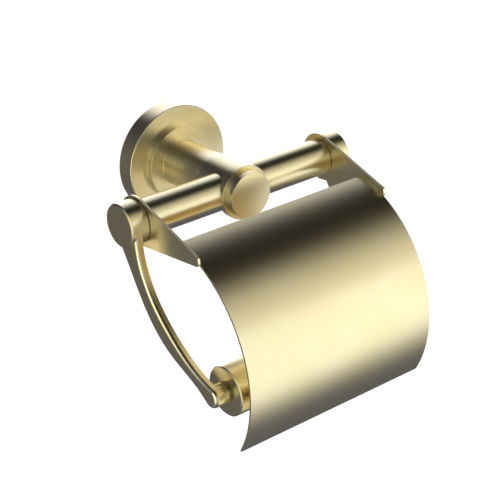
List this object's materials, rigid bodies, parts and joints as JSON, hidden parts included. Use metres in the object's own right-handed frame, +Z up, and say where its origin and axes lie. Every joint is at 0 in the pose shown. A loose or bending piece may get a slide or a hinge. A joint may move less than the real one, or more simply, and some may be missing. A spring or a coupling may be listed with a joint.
{
  "type": "toilet paper holder",
  "caption": "Wall-mounted toilet paper holder with a round rosette, a cross bar, two curved arms, a sprung roller and a lift-up curved cover in satin brass.",
  "frame": {"origin": "centre of the wall plate's back face, on the wall", "axes": "+Y into the wall, so the post points along -Y; +X along the cross bar; +Z up"},
  "size_m": [0.1374, 0.1385, 0.1258],
  "materials": {
    "satin_brass": "brushed satin",
    "zinc_steel": "zinc plated",
    "nylon": "natural nylon"
  },
  "bodies": {
    "bracket": {"wall_plate": "zinc_steel", "rosette": "satin_brass", "rosette_grub_screw": "zinc_steel", "post_stud": "zinc_steel", "post_head": "satin_brass", "front_cap": "satin_brass", "tie_rod": "zinc_steel", "bar_left": "satin_brass", "bar_right": "satin_brass", "arm_left": "satin_brass", "arm_right": "satin_brass", "end_cap_left": "satin_brass", "end_cap_right": "satin_brass", "pivot_bush_left": "nylon", "pivot_bush_right": "nylon", "bar_grub_screws": "zinc_steel", "tie_nuts": "zinc_steel", "tie_washers": "zinc_steel", "pivot_washers": "nylon", "cover_stop_pins": "zinc_steel"},
    "cover": {"cover_sheet": "satin_brass", "ear_left": "satin_brass", "ear_right": "satin_brass"},
    "roller_outer": {"roller_outer_tube": "satin_brass", "roller_end_left": "satin_brass", "roller_pin_left": "zinc_steel", "roller_spring": "zinc_steel"},
    "roller_inner": {"roller_inner_tube": "satin_brass", "roller_end_right": "satin_brass", "roller_pin_right": "zinc_steel", "spring_seat": "nylon"}
  },
  "joints": [
    {"name": "cover_lift", "type": "hinge", "parent": "bracket", "child": "cover", "pos_m": [0, -0.0563, 0], "axis": [-1, 0, 0], "range_deg": [0, 110]},
    {"name": "roller_spin", "type": "hinge", "parent": "bracket", "child": "roller_outer", "pos_m": [0, -0.1193, -0.0673], "axis": [1, 0, 0], "continuous": true},
    {"name": "roller_squeeze", "type": "slide", "parent": "roller_outer", "child": "roller_inner", "axis": [-1, 0, 0], "range_m": [0, 0.0065], "stiffness_N_per_m": 400, "springref_m": -0.008, "deforming": ["roller_spring"]}
  ]
}
